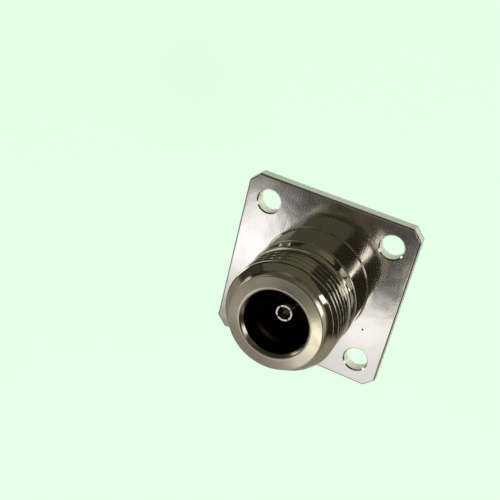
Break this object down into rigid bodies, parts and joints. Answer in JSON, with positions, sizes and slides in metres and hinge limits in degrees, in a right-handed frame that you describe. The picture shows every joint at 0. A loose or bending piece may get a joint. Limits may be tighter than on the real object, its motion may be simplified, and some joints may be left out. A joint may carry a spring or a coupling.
{
  "type": "coaxial panel jack",
  "caption": "Square-flange coaxial panel jack: large threaded socket in front, stepped nose behind that ends in a small push-on plug.",
  "frame": {"origin": "centre of the flange's rear mounting face, on the connector's axis", "axes": "+Z along the axis, out of the large threaded socket; X and Y along the sides of the square flange"},
  "size_m": [0.0254, 0.0254, 0.0308],
  "materials": {
    "nickel_plate": "bright nickel plating on turned brass",
    "contact_plate": "bright plating on spring bronze",
    "dark_insulator": "moulded black polymer",
    "pale_insulator": "turned white fluoropolymer"
  },
  "bodies": {
    "root": {"flange_body": "nickel_plate", "front_bead": "dark_insulator", "socket_contact": "contact_plate", "nose_body": "nickel_plate", "nose_insulator": "pale_insulator", "plug_sleeve": "contact_plate", "plug_pin": "contact_plate"}
  },
  "joints": []
}
